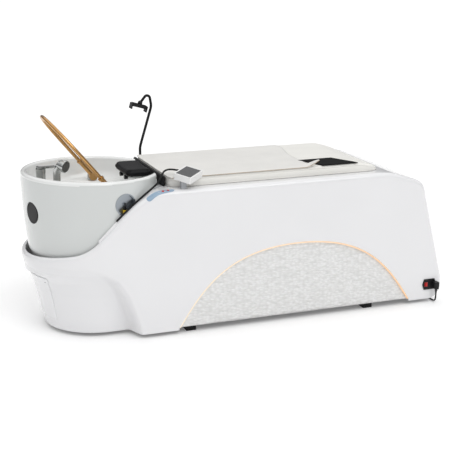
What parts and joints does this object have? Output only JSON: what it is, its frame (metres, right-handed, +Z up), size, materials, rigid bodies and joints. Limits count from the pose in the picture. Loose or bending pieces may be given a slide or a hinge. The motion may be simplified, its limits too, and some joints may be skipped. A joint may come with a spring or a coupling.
{
  "type": "shampoo backwash unit",
  "caption": "Lie-down hair-washing bed with a round rinsing basin, spray hoop, hand shower, mixer, sliding headrest and padded top on a moulded body.",
  "frame": {"origin": "on the floor at the middle of the unit's length and width", "axes": "+X runs from the basin end to the foot end, +Y to the client's left, +Z up"},
  "size_m": [1.8949, 0.83, 0.9551],
  "materials": {
    "gelcoat": "glossy white gelcoat",
    "basin_gloss": "glossy white moulding",
    "arch_panel": "embossed white sheet",
    "light_strip": "translucent warm diffuser",
    "frame_steel": "powder coated",
    "screw_steel": "plain",
    "black_rubber": "satin",
    "black_plastic": "satin",
    "dark_plastic": "satin",
    "grey_plastic": "satin",
    "white_plastic": "glossy",
    "yellow_plastic": "glossy",
    "red_plastic": "glossy",
    "port_metal": "brushed",
    "dark_metal": "satin",
    "chrome": "polished",
    "gold": "polished rose gold",
    "black_vinyl": "satin",
    "cream_vinyl": "satin",
    "plywood": "plain",
    "sheet_fabric": "plain weave",
    "black_mat": "satin",
    "screen": "dark glass",
    "keypad_film": "printed film",
    "grille_grey": "satin",
    "black_cable": "satin"
  },
  "bodies": {
    "bed": {"body_shell": "gelcoat", "nose_access_panel": "gelcoat", "access_panel_screws": "screw_steel", "arch_panel_near": "arch_panel", "arch_panel_far": "arch_panel", "light_strips": "light_strip", "base_frame": "frame_steel", "rubber_feet": "black_rubber", "basin": "basin_gloss", "basin_bowl": "basin_gloss", "neck_sill": "basin_gloss", "basin_cap": "black_plastic", "port_cup": "port_metal", "port_bezel": "port_metal", "drain_flange": "chrome", "drain_trap": "grey_plastic", "mixer_body": "chrome", "shower_dock": "chrome", "hoop_pods": "chrome", "headrest_guides": "grey_plastic", "neck_seal": "black_rubber", "mattress_board": "plywood", "mattress": "cream_vinyl", "cover_sheet": "sheet_fabric", "foot_mat": "black_mat", "gooseneck_base": "black_plastic", "controller_case": "white_plastic", "controller_screen": "screen", "controller_foot": "grey_plastic", "controller_gland": "black_rubber", "controller_cable": "black_cable", "keypad_strip": "keypad_film", "shoulder_grille": "grille_grey", "power_inlet": "black_plastic", "inlet_plug": "black_plastic", "mains_lead": "black_cable", "mains_coil": "black_cable", "wall_plug": "black_plastic", "water_tank": "grey_plastic", "circulation_pump": "frame_steel"},
    "hoop": {"spray_hoop": "gold", "hoop_sleeves": "gold", "hoop_pivot_discs": "gold"},
    "mixer_head": {"mixer_cap": "chrome"},
    "mixer_handle": {"mixer_lever": "chrome"},
    "shower": {"hand_shower": "chrome", "shower_nozzle_plate": "dark_plastic"},
    "headrest": {"headrest_rods": "chrome", "headrest_knobs": "black_plastic", "headrest_plate": "frame_steel", "headrest_pillow": "black_vinyl"},
    "phone_arm": {"gooseneck_tube": "black_rubber"},
    "cradle": {"phone_cradle": "black_plastic"},
    "jaw": {"cradle_jaw": "black_plastic"},
    "rocker": {"rocker_switch": "red_plastic"},
    "drain_valve": {"valve_arm": "dark_metal", "valve_grip": "yellow_plastic"},
    "strainer_basket": {"strainer": "chrome"},
    "key_1": {"keypad_key_1": "red_plastic"},
    "key_2": {"keypad_key_2": "red_plastic"}
  },
  "joints": [
    {"name": "hoop_tilt", "type": "hinge", "parent": "bed", "child": "hoop", "pos_m": [-0.583, 0, 0.612], "axis": [0, 1, 0], "range_deg": [-30, 60]},
    {"name": "mixer_swivel", "type": "hinge", "parent": "bed", "child": "mixer_head", "pos_m": [-0.853, 0.02, 0.69], "axis": [0, 0, 1], "range_deg": [-50, 50]},
    {"name": "mixer_lift", "type": "hinge", "parent": "mixer_head", "child": "mixer_handle", "pos_m": [-0.865, 0.02, 0.705], "axis": [0, -1, 0], "range_deg": [0, 22]},
    {"name": "shower_pull", "type": "slide", "parent": "bed", "child": "shower", "axis": [0, 0, 1], "range_m": [0, 0.06]},
    {"name": "headrest_slide", "type": "slide", "parent": "bed", "child": "headrest", "axis": [-1, 0, 0], "range_m": [0, 0.045]},
    {"name": "gooseneck_swivel", "type": "hinge", "parent": "bed", "child": "phone_arm", "pos_m": [-0.335, 0.28, 0.65], "axis": [0, 0, 1], "range_deg": [-90, 90]},
    {"name": "cradle_tilt", "type": "hinge", "parent": "phone_arm", "child": "cradle", "pos_m": [-0.33, 0.28, 0.917], "axis": [0, 1, 0], "range_deg": [-20, 35]},
    {"name": "jaw_slide", "type": "slide", "parent": "cradle", "child": "jaw", "axis": [0.9588, 0, -0.284], "range_m": [0, 0.009], "stiffness_N_per_m": 100, "springref_m": -0.005},
    {"name": "rocker_tip", "type": "hinge", "parent": "bed", "child": "rocker", "pos_m": [0.8595, -0.318, 0.088], "axis": [0, 0, 1], "range_deg": [0, 14]},
    {"name": "drain_valve_turn", "type": "hinge", "parent": "bed", "child": "drain_valve", "pos_m": [-0.56676, -0.28257, 0.588], "axis": [0.225, -0.9744, 0], "range_deg": [0, 90]},
    {"name": "strainer_lift", "type": "slide", "parent": "bed", "child": "strainer_basket", "axis": [0, 0, 1], "range_m": [0, 0.08]},
    {"name": "key_1_press", "type": "slide", "parent": "bed", "child": "key_1", "axis": [0, 0, -1], "range_m": [0, 0.0005], "stiffness_N_per_m": 400, "springref_m": -0.0005},
    {"name": "key_2_press", "type": "slide", "parent": "bed", "child": "key_2", "axis": [0, 0, -1], "range_m": [0, 0.0005], "stiffness_N_per_m": 400, "springref_m": -0.0005}
  ]
}
